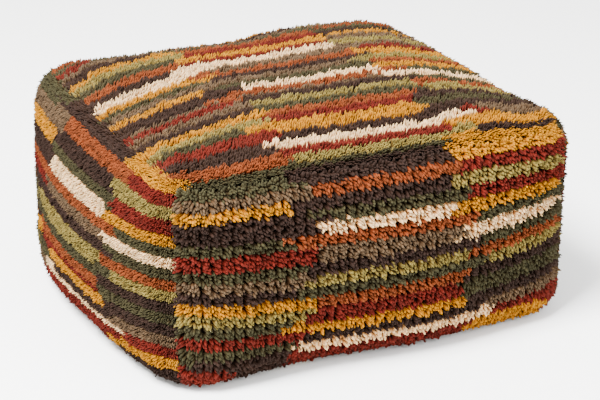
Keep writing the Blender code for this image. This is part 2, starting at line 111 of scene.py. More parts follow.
def add(material, kind, inputs=None, **settings):
    """Add a node. Each input is a value, or the socket that feeds it."""
    node = material.node_tree.nodes.new("ShaderNode" + kind)
    for key, value in settings.items():
        setattr(node, key, value)
    for key, value in (inputs or {}).items():
        if isinstance(value, bpy.types.NodeSocket):
            material.node_tree.links.new(value, node.inputs[key])
        else:
            node.inputs[key].default_value = value
    return node


def foam_finish(name, light, dark):
    """Open-celled foam: matt, with a fine sponge of pores that shades every face."""
    foam = blank(name)
    place = add(foam, "TexCoord").outputs["Object"]
    cells = add(foam, "TexVoronoi", {"Vector": place, "Scale": 1 / FOAM_CELL})
    patches = add(foam, "TexNoise", {"Vector": place, "Scale": 1 / 0.03, "Detail": 4.0})
    tint = add(foam, "MixRGB", {
        "Fac": patches.outputs["Fac"], "Color1": linear(dark), "Color2": linear(light)})
    pores = add(foam, "Bump", {"Height": cells.outputs["Distance"], "Strength": 0.6, "Distance": 0.001})
    shader = add(foam, "BsdfPrincipled", {
        "Base Color": tint.outputs["Color"], "Roughness": 0.95, "Specular IOR Level": 0.2,
        "Normal": pores.outputs["Normal"]})
    add(foam, "OutputMaterial", {"Surface": shader.outputs["BSDF"]})
    return foam


for node, slot, light, dark in (("foam_base", "firm_foam", "#d9d7d0", "#c3c0b7"),
                                ("foam_top", "soft_foam", "#ece0b4", "#ddcd97")):
    slab = from_node(node, node + "_slab")
    modify(slab, "REMESH", mode="VOXEL", voxel_size=FOAM_VOXEL)
    modify(slab, "SMOOTH", factor=0.5, iterations=2)
    bpy.ops.object.shade_smooth()
    slab.data.materials.append(foam_finish("open-cell foam, " + slot.replace("_", " "), light, dark))
    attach(slab, "pouf")
    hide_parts(node)

# Wadding: a sheet of bonded polyester fibre over the top slab and one wrapped round the
# sides, tacked with spray glue. It rounds the foam off and fills the cover out, and it
# has settled unevenly, so every layer from here outwards follows the same soft lumps.
WADDING_VOXEL = 0.008
# How far the top pillows up, half its width and depth, the height where the rise begins, and
# how much higher it is full
PILLOW_RISE = 0.009
PILLOW_HALF = (0.275, 0.258)
PILLOW_FOOT, PILLOW_FADE = 0.18, 0.06
# Where the filling has shifted: a place, how far round it that is felt, and the move
LUMPS = (
    ((-0.15, 0.25, 0.26), 0.09, (0.0, 0.0, -0.003)),
    ((0.00, 0.235, 0.27), 0.06, (0.0, 0.0, -0.005)),
    ((0.11, 0.24, 0.27), 0.08, (0.0, 0.0, 0.005)),
    ((0.26, -0.09, 0.27), 0.07, (0.0, 0.0, -0.006)),
    ((-0.27, 0.22, 0.25), 0.06, (0.002, 0.0, 0.002)),
    ((-0.30, 0.12, 0.03), 0.06, (-0.006, 0.0, 0.0)),
    ((-0.31, -0.04, 0.02), 0.06, (0.004, 0.0, 0.003)),
    ((0.26, -0.18, 0.24), 0.07, (0.004, 0.0, 0.0)),
)


def settled(points):
    """Points of any layer, moved as the filling has settled."""
    x, y, z = points[..., 0], points[..., 1], points[..., 2]
    across = np.maximum(1 - np.abs(x / PILLOW_HALF[0]) ** 3, 0)
    deep = np.maximum(1 - np.abs(y / PILLOW_HALF[1]) ** 4, 0)
    high = np.clip((z - PILLOW_FOOT) / PILLOW_FADE, 0, 1)
    moved = points.copy()
    moved[..., 2] += PILLOW_RISE * across * deep * high
    for place, reach, move in LUMPS:
        felt = np.exp(-((points - place) ** 2).sum(-1) / reach ** 2)
        moved += felt[..., None] * np.array(move)
    return moved


def settle(piece):
    """Move a finished layer with the filling."""
    places = np.empty(len(piece.data.vertices) * 3)
    piece.data.vertices.foreach_get("co", places)
    piece.data.vertices.foreach_set("co", settled(places.reshape(-1, 3)).ravel())
    piece.data.update()


def wadding_finish():
    """Bonded polyester fibre: white, very soft, with loose strands that catch the light."""
    wadding = blank("bonded polyester wadding")
    place = add(wadding, "TexCoord").outputs["Object"]
    fluff = add(wadding, "TexNoise", {
        "Vector": place, "Scale": 1 / 0.012, "Detail": 8.0, "Roughness": 0.7, "Distortion": 1.5})
    tint = add(wadding, "MixRGB", {
        "Fac": fluff.outputs["Fac"], "Color1": linear("#dcd9d1"), "Color2": linear("#fbfaf6")})
    loft = add(wadding, "Bump", {"Height": fluff.outputs["Fac"], "Strength": 0.8, "Distance": 0.004})
    shader = add(wadding, "BsdfPrincipled", {
        "Base Color": tint.outputs["Color"], "Roughness": 1.0, "Specular IOR Level": 0.1,
        "Sheen Weight": 0.4, "Normal": loft.outputs["Normal"]})
    add(wadding, "OutputMaterial", {"Surface": shader.outputs["BSDF"]})
    return wadding


wadding_fibre = wadding_finish()
for node in ("wadding_top", "wadding_wrap"):
    layer = from_node(node, node + "_fibre")
    modify(layer, "REMESH", mode="VOXEL", voxel_size=WADDING_VOXEL)
    modify(layer, "SMOOTH", factor=0.5, iterations=3)
    bpy.ops.object.shade_smooth()
    settle(layer)
    layer.data.materials.append(wadding_fibre)
    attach(layer, "pouf")
    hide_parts(node)

# Liner: a bag of unbleached cotton, sewn from a top, a band and a base, that holds the
# filling when the cover comes off. It is plain woven and lies tight over the wadding.
LINER_THREAD = 0.0011
CREASE = math.radians(40)
# Cut sizes here and below: the length along the cloth, and 1 cm for the seam on each edge
LINER_FLAT = {"liner_top": (0.55, 0.51), "liner_band": (2.015, 0.28), "liner_base": (0.58, 0.50)}


def woven_finish(name, thread, dark, light, roughness=0.9, twill=0.0, axes="XYZ"):
    """A plain weave, or a twill: threads cross both ways and each crossing stands up a little."""
    cloth = blank(name)
    place = add(cloth, "TexCoord").outputs["Object"]
    turned = add(cloth, "Mapping", {"Vector": place, "Rotation": (0.0, 0.0, twill)})
    height = None
    for axis in axes:
        threads = add(cloth, "TexWave", {
            "Vector": turned.outputs["Vector"], "Scale": math.pi / 10 / thread, "Distortion": 0.4,
            "Detail": 1.0}, bands_direction=axis)
        if height:
            threads = add(cloth, "Math", {0: height, 1: threads.outputs["Fac"]})
            height = threads.outputs["Value"]
        else:
            height = threads.outputs["Fac"]
    slubs = add(cloth, "TexNoise", {"Vector": place, "Scale": 1 / (8 * thread), "Detail": 5.0})
    shade = add(cloth, "Math", {0: height, 1: 0.66 / len(axes)}, operation="MULTIPLY")
    shade = add(cloth, "Math", {0: slubs.outputs["Fac"], 1: 0.3, 2: shade.outputs["Value"]},
                operation="MULTIPLY_ADD")
    tint = add(cloth, "MixRGB", {
        "Fac": shade.outputs["Value"], "Color1": linear(dark), "Color2": linear(light)})
    raised = add(cloth, "Bump", {"Height": height, "Strength": 0.5, "Distance": thread / 3})
    shader = add(cloth, "BsdfPrincipled", {
        "Base Color": tint.outputs["Color"], "Roughness": roughness, "Specular IOR Level": 0.25,
        "Sheen Weight": 0.15, "Normal": raised.outputs["Normal"]})
    add(cloth, "OutputMaterial", {"Surface": shader.outputs["BSDF"]})
    return cloth


def fine(piece, cuts):
    """Divide every face of a thin sheet, so that it can follow the filling."""
    pick(piece)
    bpy.ops.object.mode_set(mode="EDIT")
    bpy.ops.mesh.select_all(action="SELECT")
    bpy.ops.mesh.subdivide(number_cuts=cuts)
    bpy.ops.object.mode_set(mode="OBJECT")
    bpy.ops.object.shade_smooth_by_angle(angle=CREASE)


liner_cotton = woven_finish("unbleached cotton, plain weave", LINER_THREAD, "#cfc2a6", "#eee6d4")
for node, flat in LINER_FLAT.items():
    panel = from_node(node, node + "_cotton")
    fine(panel, 3)
    settle(panel)
    panel.data.materials.append(liner_cotton)
    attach(panel, "pouf")
    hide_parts(node)

# Seam tapes: strips of cotton twill sewn over the inside of every seam of the cover, so
# that the stitches hold when the filling pulls on them.
TWILL_RIB = 0.0013
twill = woven_finish("cotton twill tape", TWILL_RIB, "#bfb293", "#e4dac3", twill=math.radians(45))
SIDES = ("front", "right", "back", "left")
for side, name in enumerate(SIDES):
    after = SIDES[(side + 1) % 4]
    for node in (name + "_top_seam_tape", name + "_base_seam_tape", f"{name}_{after}_seam_tape"):
        tape = from_node(node, node.replace("_seam_tape", "_seam_twill"))
        fine(tape, 2)
        settle(tape)
        low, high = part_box(node)
        tape.data.materials.append(twill)
        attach(tape, "pouf")
        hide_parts(node)

# Ground cloth: five panels of plain-woven brown wool, a top and four sides, that the pile is
# knotted into. They are sewn edge to edge and swell between the seams, which hold them in.
# How deep the cloth lies under the face of the pile, how thick it is and how high off the floor
CLOTH_DEPTH = 0.0163
CLOTH_THICKNESS = 0.0018
CLOTH_FLOOR = 0.0003
CLOTH_THREAD = 0.0016
# The sewn form over the pile, before the filling settled
WIDTH, DEPTH, EDGE_HEIGHT = 0.571, 0.536, 0.272
CORNER_RADIUS, TOP_EDGE, BASE_EDGE = 0.069, 0.053, 0.038
FRONT_BULGE, FRONT_SPREAD = 0.021, 0.0105
END_BULGE, END_SPREAD = 0.015, 0.031
DENT_DEPTH, DENT_PLACE, DENT_WIDTH = 0.018, -0.110, 0.115
CROWN_RISE = 0.014
BASE_TURN, TOP_TURN = math.radians(70), math.radians(45)
# Steps of the cloth's mesh round a corner, along a side and up a wall, about 11 mm each
ARC_STEPS, RUN_STEPS, WALL_STEPS = 5, 40, 18
# The share of a side that runs straight before it turns into its corners
STRAIGHT = 0.7
LEAST_RADIUS = 0.001
# Points this close are sewn together, and each panel keeps this many numbers for its points
SEWN_WITHIN, PLACES = 0.0004, 10000
SWELL_FRAMES, SWELL_CAP = 20, 0.003

corner = np.linspace(STRAIGHT, 1, ARC_STEPS + 1)[1:]
stations = np.concatenate([-corner[::-1], np.linspace(-STRAIGHT, STRAIGHT, RUN_STEPS + 1), corner])


def outline(side, station, inset, share):
    """Points of a side's outline in plan, drawn in by inset, at a share of the height."""
    across = side % 2 == 0
    half_along = (WIDTH if across else DEPTH) / 2 - inset
    half_out = (DEPTH if across else WIDTH) / 2 - inset
    radius = max(CORNER_RADIUS - inset, LEAST_RADIUS)
    size = np.abs(station)
    angle = np.pi / 4 * np.maximum(size - STRAIGHT, 0) / (1 - STRAIGHT)
    run = (half_along - radius) * np.minimum(size, STRAIGHT) / STRAIGHT
    along = np.sign(station) * (run + radius * np.sin(angle))
    bulge, spread = (FRONT_BULGE, FRONT_SPREAD) if across else (END_BULGE, END_SPREAD)
    swell = bulge * np.sin(np.pi * share) + spread * (1 - share)
    if SIDES[side] == "front":
        swell = swell - DENT_DEPTH * (1 - share) * np.exp(-((along - DENT_PLACE) / DENT_WIDTH) ** 2)
    out = half_out - radius * (1 - np.cos(angle)) + swell * np.cos(np.pi / 2 * station) ** 2
    return ((along, -out), (out, along), (-along, out), (-out, -along))[side]


def side_points(side, inset, floor):
    """Rows of points up a side, from under its base edge to the seam in its top edge."""
    low, high = BASE_EDGE - inset, TOP_EDGE - inset
    foot, head = floor + low, EDGE_HEIGHT - inset - high
    rows = []
    for turned in np.linspace(BASE_TURN, 0, ARC_STEPS + 1):
        share = BASE_EDGE * (1 - np.sin(turned)) / EDGE_HEIGHT
        rows.append((inset + low * (1 - np.cos(turned)), foot - low * np.sin(turned), share))
    for k in np.arange(1, WALL_STEPS) / WALL_STEPS:
        share = (BASE_EDGE + (EDGE_HEIGHT - TOP_EDGE - BASE_EDGE) * k) / EDGE_HEIGHT
        rows.append((inset, foot + (head - foot) * k, share))
    for turned in np.linspace(0, TOP_TURN, ARC_STEPS + 1):
        share = 1 - TOP_EDGE * (1 - np.sin(turned)) / EDGE_HEIGHT
        rows.append((inset + high * (1 - np.cos(turned)), head + high * np.sin(turned), share))
    grid = []
    for drawn_in, height, share in rows:
        x, y = outline(side, stations, drawn_in, share)
        grid.append(np.stack([x, y, np.full(len(x), height)], -1))
    return settled(np.array(grid))


def top_points(inset):
    """Points of the top: rings down its round edge, and a crowned lattice inside them."""
    last = len(stations) - 1
    reach_x, reach_y = WIDTH / 2 - TOP_EDGE, DEPTH / 2 - TOP_EDGE
    x, y = np.meshgrid(reach_x * stations / STRAIGHT, reach_y * stations / STRAIGHT)
    crown = np.maximum(1 - (x / reach_x) ** 2, 0) * np.maximum(1 - (y / reach_y) ** 2, 0)
    grid = np.stack([x, y, EDGE_HEIGHT - inset + CROWN_RISE * crown], -1)
    high = TOP_EDGE - inset
    for ring in range(ARC_STEPS + 1):
        turned = TOP_TURN + (np.pi / 2 - TOP_TURN) * ring / ARC_STEPS
        share = 1 - TOP_EDGE * (1 - np.sin(turned)) / EDGE_HEIGHT
        places = np.arange(ring, last + 1 - ring)
        station = stations[places].copy()
        station[[0, -1]] = -1, 1
        far = last - ring
        cells = ((ring, places), (places, far), (far, places[::-1]), (places[::-1], ring))
        for side in range(4):
            x, y = outline(side, station, inset + high * (1 - np.cos(turned)), share)
            height = EDGE_HEIGHT - inset - high * (1 - np.sin(turned))
            grid[cells[side]] = np.stack([x, y, np.full(len(x), height)], -1)
    return settled(grid)


PANELS = SIDES + ("top",)
cloth_points = {name: side_points(side, CLOTH_DEPTH, CLOTH_FLOOR) for side, name in enumerate(SIDES)}
cloth_points["top"] = top_points(CLOTH_DEPTH)
# The face of the pile, which the swelling moves with the cloth
tip_points = {name: side_points(side, 0.0, 0.0) for side, name in enumerate(SIDES)}
tip_points["top"] = top_points(0.0)


def add_panel(name, points):
    """A panel as one sheet of square faces, its seams in a vertex group."""
    rows, columns = points.shape[:2]
    bpy.ops.object.select_all(action="DESELECT")
    bpy.ops.mesh.primitive_grid_add(x_subdivisions=columns - 1, y_subdivisions=rows - 1)
    panel = bpy.context.object
    panel.name = name
    panel.data.vertices.foreach_set("co", points.ravel())
    place = panel.data.attributes.new("place", "INT", "POINT")
    start = PANELS.index(name.split("_")[0]) * PLACES
    place.data.foreach_set("value", np.arange(start, start + rows * columns))
    border = np.ones((rows, columns), bool)
    border[1:-1, 1:-1] = False
    seams = panel.vertex_groups.new(name="seams")
    seams.add(np.flatnonzero(border.ravel()).tolist(), 1.0, "REPLACE")
    return panel


def swollen():
    """Sew copies of the panels into a bag, press its filling out and give each panel's moves."""
    copies = [add_panel(name + "_copy", points) for name, points in cloth_points.items()]
    bpy.ops.object.select_all(action="DESELECT")
    for panel in copies:
        panel.select_set(True)
    cover = copies[0]
    bpy.context.view_layer.objects.active = cover
    bpy.ops.object.join()
    bpy.ops.object.mode_set(mode="EDIT")
    bpy.ops.mesh.select_all(action="SELECT")
    bpy.ops.mesh.remove_doubles(threshold=SEWN_WITHIN)
    bpy.ops.mesh.fill_holes(sides=0)
    bpy.ops.mesh.normals_make_consistent(inside=False)
    bpy.ops.object.mode_set(mode="OBJECT")
    before = np.empty(len(cover.data.vertices) * 3)
    cover.data.vertices.foreach_get("co", before)
    bpy.ops.object.modifier_add(type="CLOTH")
    cloth = cover.modifiers[-1]
    cloth.settings.quality = 5
    cloth.settings.mass = 0.4
    cloth.settings.tension_stiffness = 40
    cloth.settings.compression_stiffness = 40
    cloth.settings.bending_stiffness = 4
    cloth.settings.use_pressure = True
    cloth.settings.uniform_pressure_force = 4
    cloth.settings.effector_weights.gravity = 0
    cloth.settings.vertex_group_mass = "seams"
    cloth.point_cache.frame_end = SWELL_FRAMES
    for step in range(1, SWELL_FRAMES + 1):
        bpy.context.scene.frame_set(step)
    bpy.ops.object.modifier_apply(modifier=cloth.name)
    bpy.context.scene.frame_set(1)
    after = np.empty(len(before))
    cover.data.vertices.foreach_get("co", after)
    place = np.empty(len(before) // 3, int)
    cover.data.attributes["place"].data.foreach_get("value", place)
    move = (after - before).reshape(-1, 3)
    length = np.linalg.norm(move, axis=1, keepdims=True)
    move *= SWELL_CAP * np.tanh(length / SWELL_CAP) / np.maximum(length, 1e-9)
    moves = {}
    for index, name in enumerate(PANELS):
        own = np.zeros(cloth_points[name].shape)
        mine = place // PLACES == index
        own.reshape(-1, 3)[place[mine] % PLACES] = move[mine]
        own[[0, -1]] = 0
        own[:, [0, -1]] = 0
        moves[name] = own
    bpy.data.objects.remove(cover, do_unlink=True)
    return moves


for name, move in swollen().items():
    cloth_points[name] = cloth_points[name] + move
    tip_points[name] = tip_points[name] + move

# Painted shade: the ground's browns are darker than the wool's own, so that the gaps between the tufts
# read dark
ground_weave_painted_dark = woven_finish("undyed brown wool ground, plain weave", CLOTH_THREAD, "#352a20", "#54463a")
for name in PANELS:
    ground = add_panel(name + "_ground", cloth_points[name])
    modify(ground, "SUBSURF", levels=1, render_levels=1, boundary_smooth="PRESERVE_CORNERS")
    modify(ground, "SOLIDIFY", thickness=CLOTH_THICKNESS, offset=-1.0)
    bpy.ops.object.shade_smooth_by_angle(angle=CREASE)
    ground.data.materials.append(ground_weave_painted_dark)
    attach(ground, "pouf")
    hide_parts(name + "_ground_cloth")

# Pile: cut ends of thick wool yarn, knotted into the ground cloth row by row, two rows to
# a stripe. The dyer's eight colours change along each row, so the stripes are broken, and
# the ends lean down on the sides, stand up on the top and gather in tufts.
KNOT_WIDTH = 0.0065
ROW_HEIGHT = {"front": 0.0074, "right": 0.0072, "back": 0.0074, "left": 0.0072, "top": 0.0080}
# The front and back are knotted in thick yarn with few ends, the rest in fine yarn with many
ENDS_PER_KNOT = {"front": 4, "right": 8, "back": 4, "left": 8, "top": 8}
YARN_WIDTH = {"front": 0.0038, "right": 0.0022, "back": 0.0038, "left": 0.0022, "top": 0.0022}
# How far the ends lean along a panel, and up it at its lower edge, most of the way up and
# at its upper edge, and how far those near a seam lean over it
LEAN = {"front": (0.0008, -0.0075, -0.0025, 0.0), "right": (0.0, -0.003, -0.001, 0.0),
        "back": (0.0008, -0.0075, -0.0025, 0.0), "left": (0.0, -0.003, -0.001, 0.0),
        "top": (0.0030, 0.001, 0.001, 0.001)}
SEAM_REACH, SEAM_LEAN = 0.028, 0.0055
# How far above its tip an end is seen, so how much lower its stripe must be tied, in cm
SEEN_ABOVE = {"front": 0.5, "right": 0.3, "back": 0.5, "left": 0.3, "top": 0.0}
# How far each tip strays, how strongly tips gather in a tuft and in pairs of tufts, how much
# lower they stand at the edge of a tuft than in its middle, and how unevenly they are cut
STRAY = {"front": 0.0013, "right": 0.0004, "back": 0.0013, "left": 0.0004, "top": 0.0008}
GATHER = 0.15
PAIRING = {"front": 0.38, "right": 0.05, "back": 0.38, "left": 0.05, "top": 0.08}
ROUNDING = {"front": 0.0024, "right": 0.0012, "back": 0.0024, "left": 0.0012, "top": 0.0015}
UNEVEN = {"front": 0.0010, "right": 0.0007, "back": 0.0010, "left": 0.0007, "top": 0.0012}
LIFT_CAP = 0.0045
# A few ends stand out of the rest: their share, and the most that they do
WILD_SHARE, WILD_LIFT = 0.06, 0.004
# How far a row shifts along itself, and a knot's dye along its row, in cm
ROW_WANDER, DYE_WANDER = 0.0006, 0.25
# A knot's ends lie on a spiral: its reach and scatter as shares of the knot, and its turn
TUFT_REACH, TUFT_SCATTER, TUFT_TURN = 0.6, 0.06, math.radians(137.5)
# Rows tied past each edge, and how far past or inside a panel's edges tips and roots stay
SPARE_ROWS = 3
PAST_END, PAST_UPPER, ROOT_MARGIN = 0.003, 0.002, 0.001
SIDE_LOWEST, TOP_LOWEST = 0.005, -0.002
# How far along an end its bend lies, how far down its root may point, and the least height
# of its tip and its bend
BEND_SHARE, ROOT_DROP = 0.55, -0.15
TIP_FLOOR, BEND_FLOOR = 0.0012, 0.002
# The spread of shades between knots and between ends, and of the ends' widths
KNOT_SHADE, END_SHADE, END_WIDTH = (0.2, 0.8), 0.15, (0.85, 1.15)
SHADE_BINS = 8
PIECE_TRIANGLES = 190000
WOOL = {"rust": "#48110b", "orange": "#5c2b12", "mustard": "#845702", "lichen": "#5d5327",
        "olive": "#2a2919", "taupe": "#433626", "plum": "#201612", "cream": "#ad9268"}
# Stripes of each dye on a panel: height of its middle, where it starts and where it ends,
# in centimetres from the panel's lower left corner
FRONT_STRIPES = {
    "rust": [(3.5, 15, 39), (9.7, 17, 36.5), (2.4, 0, 6), (7.3, 0, 16.8), (17.9, 0, 17.3),
             (5.0, 42.5, 55), (22.6, 38, 55), (25.7, 37.7, 55)],
    "orange": [(11.7, 18, 37.5), (20.0, 14.3, 39.5), (25.9, 17.7, 38), (14.5, 38, 52.5)],
    "mustard": [(8.0, 13.5, 38), (11.6, 0, 17.7), (24.2, 0, 14.3), (3.0, 39.5, 50),
                (21.0, 36.3, 52), (27.2, 36.5, 55)],
    "lichen": [(14.6, 16.5, 38), (10.3, 0, 16.8), (12.9, 40.5, 52.5), (24.2, 36, 52.5)],
    "olive": [(13.2, 15, 40), (23.0, 17, 38), (5.3, 0, 14), (8.7, 0, 14), (16.4, 0, 15),
              (19.5, 0, 14), (27.2, 0, 17), (9.6, 37, 55), (16.3, 40, 55), (19.6, 39.7, 55)],
    "taupe": [(17.9, 17.5, 37), (14.8, 0, 17), (25.6, 0, 17.5), (6.8, 42, 55)],
    "plum": [(6.6, 17, 40), (16.2, 17, 39), (24.3, 14.5, 36), (27.4, 15, 36.5), (3.9, 2, 14.5),
             (13.2, 0, 15), (21.0, 0, 17), (22.4, 0, 18), (8.0, 38, 55), (11.4, 38, 55)],
    "cream": [(5.1, 16, 42.5), (21.5, 18.5, 36), (17.7, 36.3, 52)],
}
LEFT_STRIPES = {
    "rust": [(5.2, 40.5, 52), (21.7, 38.5, 52), (25.6, 40.5, 52), (4.4, 14, 40), (9.3, 15, 36),
             (16.5, 0, 17)],
    "orange": [(13.7, 36.5, 52), (10.6, 14, 36), (18.2, 2, 40), (25.6, 19, 41), (3.0, 0, 14)],
    "mustard": [(4.0, 37, 52), (19.8, 36.7, 52), (28.0, 38, 52), (8.0, 20, 37), (23.3, 3, 16.5),
                (9.3, 2, 14)],
    "lichen": [(12.2, 39, 52), (23.6, 37.5, 52), (13.6, 12, 37), (6.0, 0, 10), (12.2, 0, 9)],
    "olive": [(9.3, 36, 52), (12.4, 36, 39), (15.3, 38, 52), (18.2, 40, 52), (12.2, 10, 38),
              (21.8, 17, 39), (27.2, 0, 12), (7.5, 0, 18), (13.6, 0, 10)],
    "taupe": [(6.8, 38, 52), (16.6, 15, 37), (25.4, 0, 19), (4.6, 0, 16), (15.0, 0, 8)],
    "plum": [(2.4, 40, 52), (8.0, 37, 52), (10.8, 36, 52), (7.0, 20, 39), (15.1, 8, 39),
             (23.3, 17, 38), (28.3, 12, 38), (21.2, 0, 18), (19.5, 0, 18), (10.7, 0, 12)],
    "cream": [(16.7, 36, 52), (5.8, 17, 41), (20.0, 18, 37)],
}
TOP_STRIPES = {
    "rust": [(7.9, 1.5, 18), (17.7, 1, 15), (47, 1, 6), (4.2, 16, 40), (11.1, 18, 38),
             (34.3, 18.5, 36), (39, 19, 38), (50, 20, 38), (6.4, 43, 45.5),
             (29.5, 42, 55), (47, 40, 55)],
    "orange": [(2.9, 1, 17), (35, 1, 14.5), (19.6, 14, 19), (51, 1, 18), (12.7, 19, 39),
               (20.3, 20, 42), (28.3, 15, 39), (41.3, 20, 38), (15.8, 41, 55),
               (24.1, 41, 55), (42.5, 41, 55)],
    "mustard": [(13, 1, 19), (23.3, 1, 13.5), (28, 1, 18.5), (41.9, 2, 18), (9.1, 15, 39),
                (36.7, 18, 39), (48.5, 18, 40), (0.4, 37.5, 55), (1.4, 37.5, 55),
                (4.7, 39.5, 55), (22.2, 39, 55), (28, 40, 55), (38, 43, 55), (51.5, 41, 55)],
    "lichen": [(10.9, 1, 18), (39.6, 1, 18), (2.6, 17, 43.5), (15.8, 18, 41), (13.9, 42, 55),
               (25.6, 38, 55), (33, 40, 55), (45.5, 41, 55)],
    "olive": [(0.7, 0, 15), (9.3, 4, 14.5), (26.2, 2, 15), (37.2, 1, 15), (49, 1, 18),
              (1.3, 16, 39), (14.2, 19, 40), (23.3, 18, 39), (43.3, 19, 40), (51.5, 19, 40),
              (10.6, 38, 55), (17.6, 42, 55), (20.6, 42, 55), (41, 40, 55), (48.5, 40, 55)],
    "taupe": [(15.8, 2, 18), (18.8, 4, 14), (24.8, 1, 16), (45.2, 1, 18), (18.8, 19, 37),
              (24.8, 18.5, 36), (30, 20, 38), (45, 19, 40), (6.7, 45, 55), (31, 40, 55),
              (35, 40, 55), (44, 40, 55)],
    "plum": [(5.2, 3, 15), (14.6, 1, 17), (20.3, 1, 16), (21.6, 1, 19), (32.3, 1, 14),
             (43.6, 1, 14), (0.4, 15, 38), (7.4, 18, 39), (17.3, 19, 42), (26.7, 18.5, 40),
             (46.8, 19, 40), (2.4, 43.5, 55), (8.9, 38, 55), (12.3, 39, 55),
             (39.5, 41, 55), (50, 41, 55)],
    "cream": [(30, 1, 15), (5.9, 17, 44), (21.8, 19.5, 39), (32.2, 14, 37), (19.3, 38.5, 55)],
}
# The border along the left seam of the top: each dye and how far back it runs
TOP_BORDER = {"mustard": 13.0, "plum": 37.0, "olive": 52.0}
BORDER_WIDTH = 1.6
# How much a place past a stripe's end counts, against one above or below it
BESIDE = 0.8


def front_drift(u, v):
    """How far the rows stray up the front, in cm: they sag towards the dent."""
    left = np.clip((17 - u) / 16, 0, 1) * 1.15 * np.clip((24 - v) / 12, 0, 1)
    middle = 0.8 * np.exp(-((v - 19.5) / 4) ** 2) * np.clip((u - 17) / 21, 0, 1)
    right = np.interp(v, [5, 17.5, 20.5, 24, 27], [0.8, 0.8, 0.1, -0.4, 0])
    right = right * np.clip((u - 38) / 14, 0, 1)
    return left - middle + right


def left_drift(u, v):
    """The rows of the left side rise towards the front."""
    return 0.95 * np.clip((u - 38) / 13, 0, 1) * np.clip((25 - v) / 3, 0, 1)


def top_drift(u, v):
    """The rows of the top are drawn forward at the left seam and back at the right one."""
    places = [1, 10, 18, 28, 39, 46, 53]
    levels = [0, 8, 18, 30, 42]
    drifts = [[0, 0, 0, 0, 0, 0.4, -0.6], [-2.3, 0, 0.5, 0, -0.4, 0.2, -3.0],
              [-1.0, 0, 1.0, 0, 1.0, 1.5, 1.2], [0, 0, 0.6, 0, 2.5, 4.0, 4.5],
              [-1.2, 0, 1.0, 0, 2.5, 4.0, 5.0]]
    lines = np.array([np.interp(u, places, drift) for drift in drifts])
    level = np.clip(np.interp(v, levels, np.arange(5)), 0, 3.999)
    lower = level.astype(int)
    share = level - lower
    nth = np.arange(len(u))
    return lines[lower, nth] * (1 - share) + lines[lower + 1, nth] * share


def mirrored(stripes, width):
    """The same stripes seen from the other end of the row."""
    return {dye: [(v, width - end, width - start) for v, start, end in runs]
            for dye, runs in stripes.items()}


# The back and the right side are made to the charts of the front and the left side
FRONT_LENGTH = 54.6
CHARTS = {"front": FRONT_STRIPES, "left": LEFT_STRIPES, "top": TOP_STRIPES,
          "right": LEFT_STRIPES, "back": mirrored(FRONT_STRIPES, FRONT_LENGTH)}
DRIFTS = {"front": front_drift, "left": left_drift, "top": top_drift,
          "right": left_drift, "back": lambda u, v: front_drift(FRONT_LENGTH - u, v)}
dyes = list(WOOL)


def dye_at(chart, u, v):
    """The dye of the stripe nearest to each place, in cm."""
    runs = [(dyes.index(dye), *run) for dye, found in chart.items() for run in found]
    dye, middle, start, end = np.array(runs).T
    away = np.abs(v[:, None] - middle)
    beyond = np.maximum(np.maximum(start - u[:, None], u[:, None] - end), 0)
    return dye[np.argmin(away + BESIDE * beyond, axis=1)].astype(int)


def yarn_end(sides, steps):
    """Model one yarn end, plump with a blunt tip, a unit long and a unit in radius."""
    bpy.ops.object.select_all(action="DESELECT")
    bpy.ops.mesh.primitive_circle_add(vertices=sides, radius=0.7, fill_type="NGON")
    yarn = bpy.context.object
    bpy.ops.object.mode_set(mode="EDIT")
    for rise, widen in steps:
        bpy.ops.mesh.extrude_region_move(TRANSFORM_OT_translate={"value": (0, 0, rise)})
        bpy.ops.transform.resize(value=(widen, widen, 1))
    bpy.ops.mesh.merge(type="CENTER")
    bpy.ops.mesh.select_all(action="SELECT")
    bpy.ops.mesh.normals_make_consistent(inside=False)
    bpy.ops.mesh.quads_convert_to_tris()
    bpy.ops.object.mode_set(mode="OBJECT")
    points = np.array([v.co for v in yarn.data.vertices])
    faces = np.array([list(face.vertices) for face in yarn.data.polygons])
    bpy.data.objects.remove(yarn, do_unlink=True)
    return points, faces


thick_end = yarn_end(5, ((0.5, 1.43), (0.37, 0.8), (0.13, 0.1)))
fine_end = yarn_end(3, ((0.86, 1.43), (0.14, 0.1)))
YARN_END = {"front": thick_end, "right": fine_end, "back": thick_end, "left": fine_end, "top": fine_end}


def unit(vectors):
    """The same directions, each a unit long."""
    return vectors / np.maximum(np.linalg.norm(vectors, axis=-1, keepdims=True), 1e-12)


def lattice(points):
    """Lengths along a panel's middle lines, and its normals."""
    rows, columns = points.shape[:2]
    steps_u = np.linalg.norm(np.diff(points[rows // 2], axis=0), axis=1)
    steps_v = np.linalg.norm(np.diff(points[:, columns // 2], axis=0), axis=1)
    lengths_u = np.concatenate([[0], np.cumsum(steps_u)])
    lengths_v = np.concatenate([[0], np.cumsum(steps_v)])
    normals = unit(np.cross(np.gradient(points, axis=1), np.gradient(points, axis=0)))
    return lengths_u, lengths_v, normals


def between(grid, row, column):
    """A grid's value between its points, carried on straight past its edges."""
    i = np.clip(row.astype(int), 0, grid.shape[0] - 2)
    j = np.clip(column.astype(int), 0, grid.shape[1] - 2)
    a, b = (row - i)[:, None], (column - j)[:, None]
    near = grid[i, j] * (1 - b) + grid[i, j + 1] * b
    far = grid[i + 1, j] * (1 - b) + grid[i + 1, j + 1] * b
    return near * (1 - a) + far * a


def index_of(lengths, places):
    """Fractional index of places along a line of lengths, carried on past its ends."""
    index = np.interp(places, lengths, np.arange(len(lengths)))
    index += np.minimum(places, 0) / (lengths[1] - lengths[0])
    return index + np.maximum(places - lengths[-1], 0) / (lengths[-1] - lengths[-2])


def length_at(lengths, index):
    """The length at a fractional index, carried on past its ends."""
    length = np.interp(index, np.arange(len(lengths)), lengths)
    length += np.minimum(index, 0) * (lengths[1] - lengths[0])
    return length + np.maximum(index - len(lengths) + 1, 0) * (lengths[-1] - lengths[-2])


